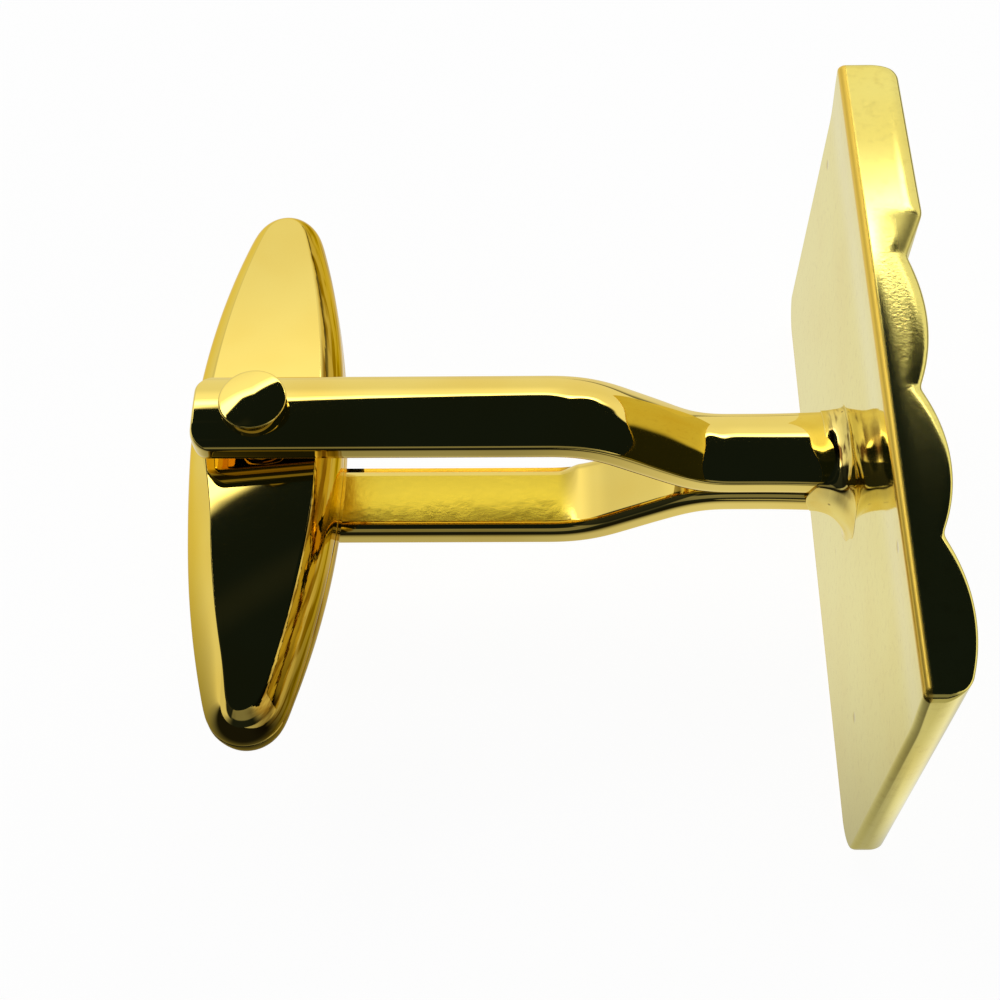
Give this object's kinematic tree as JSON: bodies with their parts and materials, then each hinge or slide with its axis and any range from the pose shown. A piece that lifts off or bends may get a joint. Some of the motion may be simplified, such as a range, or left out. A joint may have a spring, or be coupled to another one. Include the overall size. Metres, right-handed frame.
{
  "type": "cufflink",
  "caption": "Gold-plated swivel-back cufflink: scalloped rectangular face plate, forked post and an oval toggle that swings on a rivet between the fork's arms.",
  "frame": {"origin": "centre of the face plate's back face, on the post axis, where the cuff seats", "axes": "+X along the post out of the plate's front, +Y along the plate's long side towards its flat land, +Z along the swivel axis, up, with the cufflink lying on one long edge of the plate"},
  "size_m": [0.0185, 0.018, 0.0104],
  "materials": {
    "face_gold": "gold plate: satin back, polished edges and front",
    "polished_gold": "gold plate, mirror polished",
    "solder_gold": "plated solder, slightly pitted",
    "spring_steel": "bright rolled spring steel"
  },
  "bodies": {
    "face_and_fork": {"face_plate": "face_gold", "fork_leaf_upper": "polished_gold", "fork_leaf_lower": "polished_gold", "solder_fillet": "solder_gold", "pivot_rivet": "polished_gold"},
    "toggle": {"toggle_shell_upper": "polished_gold", "toggle_shell_lower": "polished_gold", "detent_spring": "spring_steel"}
  },
  "joints": [
    {"name": "toggle_swivel", "type": "hinge", "parent": "face_and_fork", "child": "toggle", "pos_m": [-0.015, 0, 0], "axis": [0, 0, 1], "range_deg": [-90, 90], "deforming": ["detent_spring"]}
  ]
}
